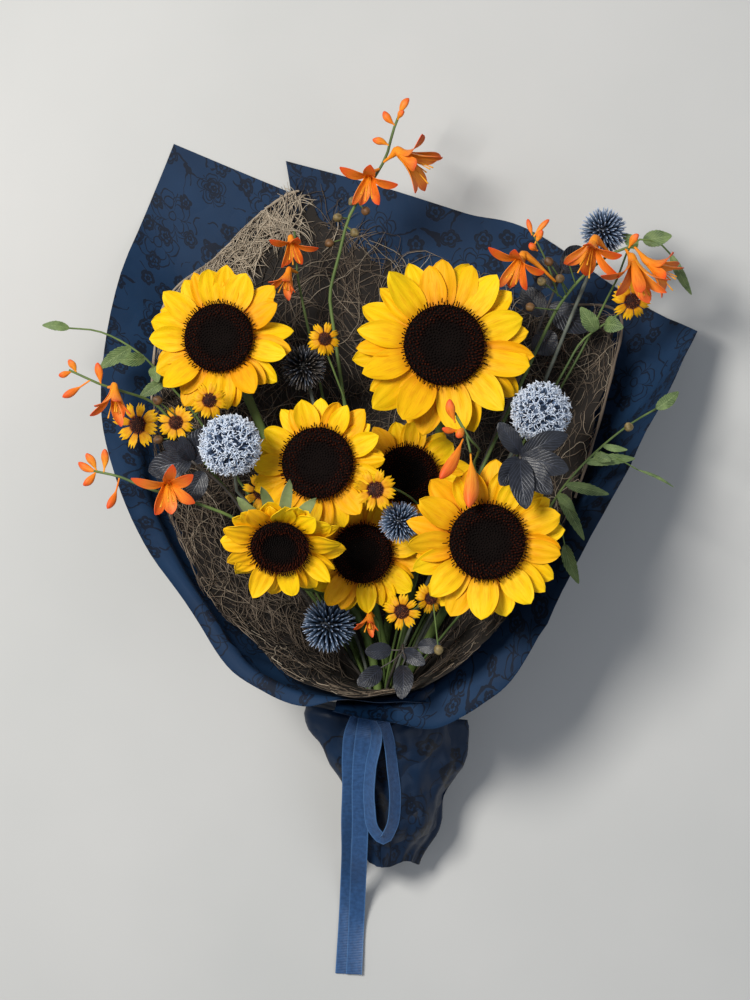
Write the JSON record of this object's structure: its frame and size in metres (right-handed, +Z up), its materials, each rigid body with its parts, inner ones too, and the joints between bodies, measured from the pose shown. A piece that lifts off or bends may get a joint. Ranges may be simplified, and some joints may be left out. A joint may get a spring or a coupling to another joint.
{
  "type": "wrapped bouquet",
  "caption": "Hand-tied bunch of sunflowers with blue globe thistles, orange crocosmia and small daisies, in fibre and dark blue printed paper tied with a blue ribbon, lying on its back.",
  "frame": {"origin": "middle of the flat on the back of the left paper, where the bunch's weight rests on the surface it lies on", "axes": "+X to the right as one looks down on the flowers, +Y from the cut stems to the flower tips, +Z up, the way the flowers face"},
  "size_m": [0.4733, 0.6426, 0.2084],
  "materials": {
    "petal_yellow": "soft satin, bright yellow petals, deeper at the root",
    "seed_disc": "matt, fuzzy, near black brown",
    "stem_green": "satin green stalk and bracts",
    "thistle": "matt blue grey florets",
    "crocosmia": "soft satin orange",
    "coneflower": "soft satin yellow, dark centre",
    "dark_leaf": "satin, dark purple grey",
    "green_leaf": "matt green",
    "plant_fibre": "matt loose fibres",
    "wrapping_paper": "smooth dark blue paper with a line drawn flower print",
    "ribbon": "fine ribbed, blue",
    "twine": "matt twisted twine"
  },
  "bodies": {
    "root": {"binding_twine": "twine", "fibre_wrap": "plant_fibre", "paper_wrap_left": "wrapping_paper", "paper_wrap_right": "wrapping_paper", "ribbon": "ribbon", "sunflower_a_petals": "petal_yellow", "sunflower_a_disc": "seed_disc", "sunflower_a_stem": "stem_green", "sunflower_b_petals": "petal_yellow", "sunflower_b_disc": "seed_disc", "sunflower_b_stem": "stem_green", "sunflower_c_petals": "petal_yellow", "sunflower_c_disc": "seed_disc", "sunflower_c_stem": "stem_green", "sunflower_d_petals": "petal_yellow", "sunflower_d_disc": "seed_disc", "sunflower_d_stem": "stem_green", "sunflower_e_petals": "petal_yellow", "sunflower_e_disc": "seed_disc", "sunflower_e_stem": "stem_green", "sunflower_f_petals": "petal_yellow", "sunflower_f_disc": "seed_disc", "sunflower_f_stem": "stem_green", "sunflower_g_petals": "petal_yellow", "sunflower_g_disc": "seed_disc", "sunflower_g_stem": "stem_green", "globe_thistle_a_head": "thistle", "globe_thistle_a_stem": "stem_green", "globe_thistle_b_head": "thistle", "globe_thistle_b_stem": "stem_green", "globe_thistle_c_head": "thistle", "globe_thistle_c_stem": "stem_green", "globe_thistle_d_head": "thistle", "globe_thistle_d_stem": "stem_green", "globe_thistle_e_head": "thistle", "globe_thistle_e_stem": "stem_green", "globe_thistle_f_head": "thistle", "globe_thistle_f_stem": "stem_green", "crocosmia_a": "crocosmia", "crocosmia_b": "crocosmia", "crocosmia_c": "crocosmia", "crocosmia_d": "crocosmia", "crocosmia_e": "crocosmia", "crocosmia_f": "crocosmia", "crocosmia_g": "crocosmia", "coneflower_a": "coneflower", "coneflower_b": "coneflower", "coneflower_c": "coneflower", "coneflower_d": "coneflower", "coneflower_e": "coneflower", "coneflower_f": "coneflower", "dark_foliage_a": "dark_leaf", "dark_foliage_b": "dark_leaf", "dark_foliage_c": "dark_leaf", "dark_foliage_d": "dark_leaf", "green_sprig_a": "green_leaf", "green_sprig_b": "green_leaf", "green_sprig_c": "green_leaf"}
  },
  "joints": []
}
